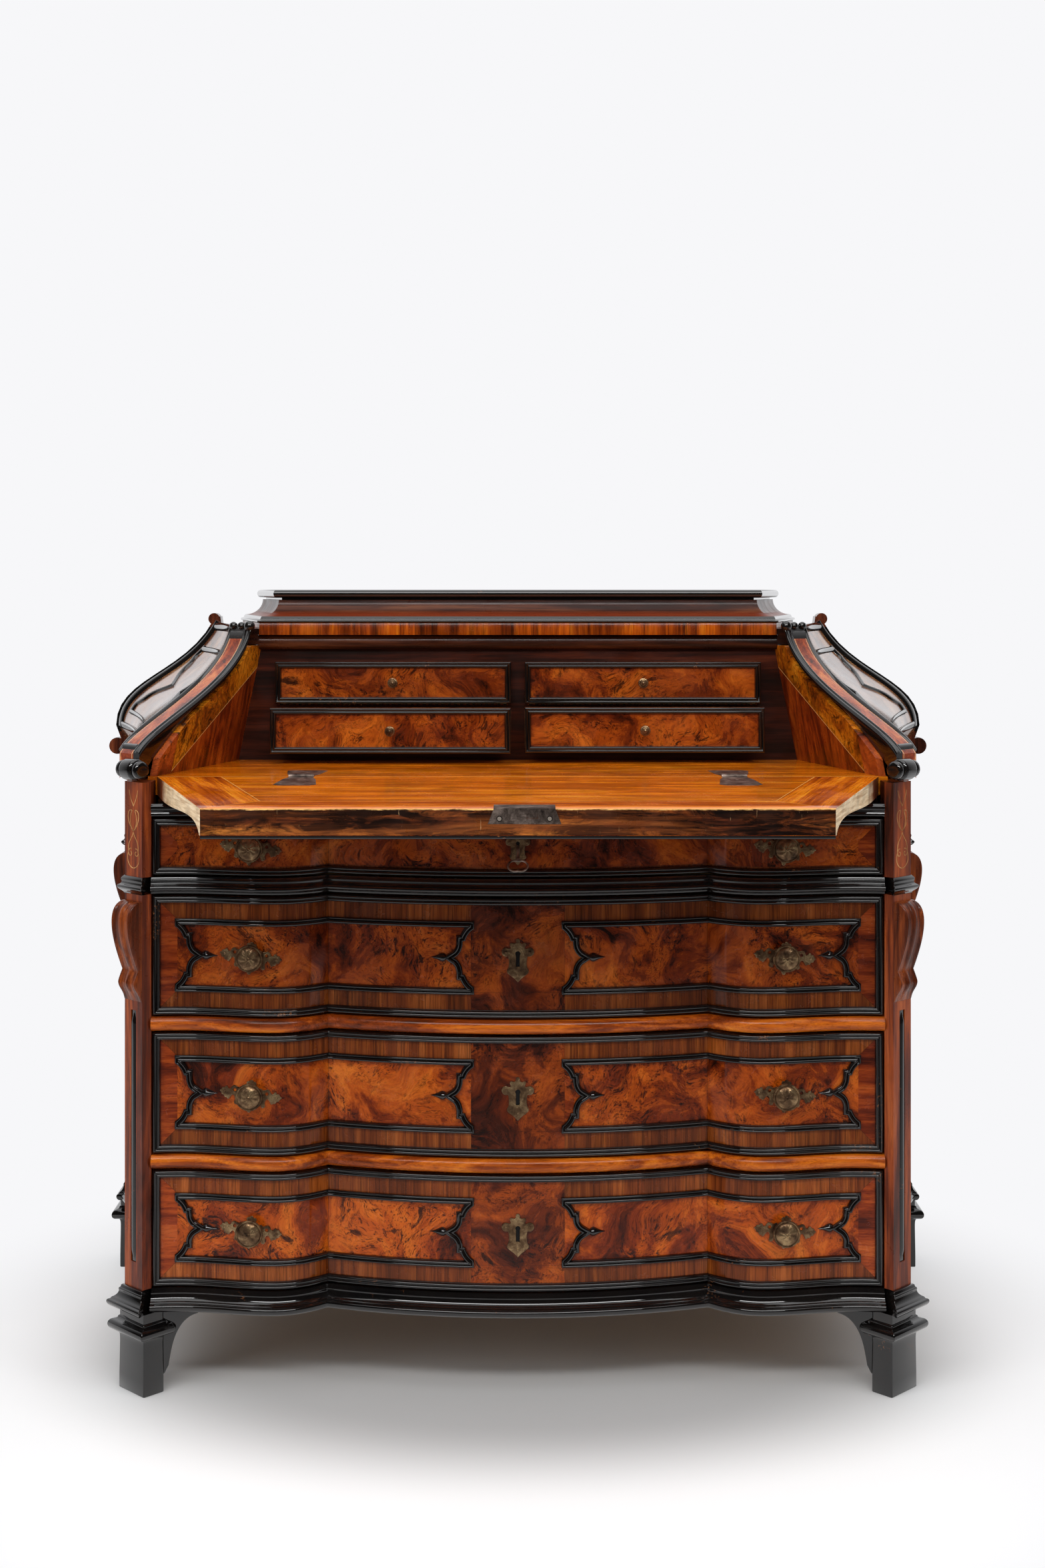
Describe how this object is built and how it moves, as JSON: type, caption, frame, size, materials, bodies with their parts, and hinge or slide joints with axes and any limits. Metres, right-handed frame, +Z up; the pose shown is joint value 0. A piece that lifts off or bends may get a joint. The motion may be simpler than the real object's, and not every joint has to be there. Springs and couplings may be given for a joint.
{
  "type": "slant-front desk",
  "caption": "Slant-front desk with serpentine drawers, a hinged fall, small inner drawers, canted corner posts, ogee side slopes and block feet.",
  "frame": {"origin": "on the floor, under the middle of the desk with its fall open", "axes": "+X to the viewer's right, +Y from the front to the back, +Z up"},
  "size_m": [1.294, 0.8138, 1.06],
  "materials": {
    "walnut": "french polished walnut",
    "burr_walnut": "polished burr walnut veneer",
    "light_walnut": "polished straight-grained walnut veneer",
    "ebonised_wood": "glossy black stained pearwood",
    "pine": "bare aged softwood",
    "patinated_brass": "dull patinated brass",
    "iron": "dark wrought iron"
  },
  "bodies": {
    "carcase": {"feet": "ebonised_wood", "base_moulding": "ebonised_wood", "bottom_board": "pine", "sides": "walnut", "back_boards": "pine", "posts": "walnut", "post_strips": "ebonised_wood", "consoles": "walnut", "dust_boards": "pine", "cushion_rails": "light_walnut", "waist_moulding": "ebonised_wood", "top_rail": "ebonised_wood", "drawer_guides": "pine", "writing_bed": "light_walnut", "cheeks": "burr_walnut", "side_slopes": "burr_walnut", "slope_mouldings": "ebonised_wood", "hip_stiles": "walnut", "hip_trim": "ebonised_wood", "rear_stiles": "walnut", "top_back": "pine", "top_board": "walnut", "frieze": "light_walnut", "top_mouldings": "ebonised_wood", "cove": "walnut", "dentils": "ebonised_wood", "nest_case": "walnut", "hinge_plates": "iron"},
    "fall": {"fall_board": "light_walnut", "fall_lip": "ebonised_wood", "fall_lock": "iron", "fall_bolt": "iron", "hinge_straps": "iron"},
    "top_drawer": {"drawer_front_1": "burr_walnut", "drawer_box_1": "pine", "drawer_trim_1": "ebonised_wood", "drawer_metal_1": "patinated_brass", "lock_case": "iron"},
    "upper_drawer": {"drawer_front_2": "burr_walnut", "drawer_box_2": "pine", "drawer_trim_2": "ebonised_wood", "drawer_metal_2": "patinated_brass"},
    "middle_drawer": {"drawer_front_3": "burr_walnut", "drawer_box_3": "pine", "drawer_trim_3": "ebonised_wood", "drawer_metal_3": "patinated_brass"},
    "bottom_drawer": {"drawer_front_4": "burr_walnut", "drawer_box_4": "pine", "drawer_trim_4": "ebonised_wood", "drawer_metal_4": "patinated_brass"},
    "key_body": {"key": "iron"},
    "bolt_body": {"lock_bolt": "iron"},
    "small_upper_left": {"small_drawer_1": "burr_walnut", "small_trim_1": "ebonised_wood"},
    "small_lower_left": {"small_drawer_2": "burr_walnut", "small_trim_2": "ebonised_wood"},
    "small_upper_right": {"small_drawer_3": "burr_walnut", "small_trim_3": "ebonised_wood"},
    "small_lower_right": {"small_drawer_4": "burr_walnut", "small_trim_4": "ebonised_wood"}
  },
  "joints": [
    {"name": "fall_hinge", "type": "hinge", "parent": "carcase", "child": "fall", "pos_m": [0, -0.10809, 0.81], "axis": [1, 0, 0], "range_deg": [-146.5, 0]},
    {"name": "top_drawer_slide", "type": "slide", "parent": "carcase", "child": "top_drawer", "axis": [0, -1, 0], "range_m": [0, 0.38]},
    {"name": "upper_drawer_slide", "type": "slide", "parent": "carcase", "child": "upper_drawer", "axis": [0, -1, 0], "range_m": [0, 0.38]},
    {"name": "middle_drawer_slide", "type": "slide", "parent": "carcase", "child": "middle_drawer", "axis": [0, -1, 0], "range_m": [0, 0.38]},
    {"name": "bottom_drawer_slide", "type": "slide", "parent": "carcase", "child": "bottom_drawer", "axis": [0, -1, 0], "range_m": [0, 0.38]},
    {"name": "key_turn", "type": "hinge", "parent": "top_drawer", "child": "key_body", "pos_m": [0, -0.16509, 0.7225], "axis": [0, -0.766, -0.6428], "range_deg": [0, 90]},
    {"name": "bolt_lift", "type": "slide", "parent": "top_drawer", "child": "bolt_body", "axis": [0, 0, 1], "range_m": [0, 0.008]},
    {"name": "small_upper_left_slide", "type": "slide", "parent": "carcase", "child": "small_upper_left", "axis": [0, -1, 0], "range_m": [0, 0.14]},
    {"name": "small_lower_left_slide", "type": "slide", "parent": "carcase", "child": "small_lower_left", "axis": [0, -1, 0], "range_m": [-0.064, 0.076]},
    {"name": "small_upper_right_slide", "type": "slide", "parent": "carcase", "child": "small_upper_right", "axis": [0, -1, 0], "range_m": [-0.004, 0.136]},
    {"name": "small_lower_right_slide", "type": "slide", "parent": "carcase", "child": "small_lower_right", "axis": [0, -1, 0], "range_m": [-0.049, 0.091]}
  ],
  "couplings": [
    {"joint": "bolt_lift", "follows": "key_turn", "m_per_rad": 0.005}
  ]
}
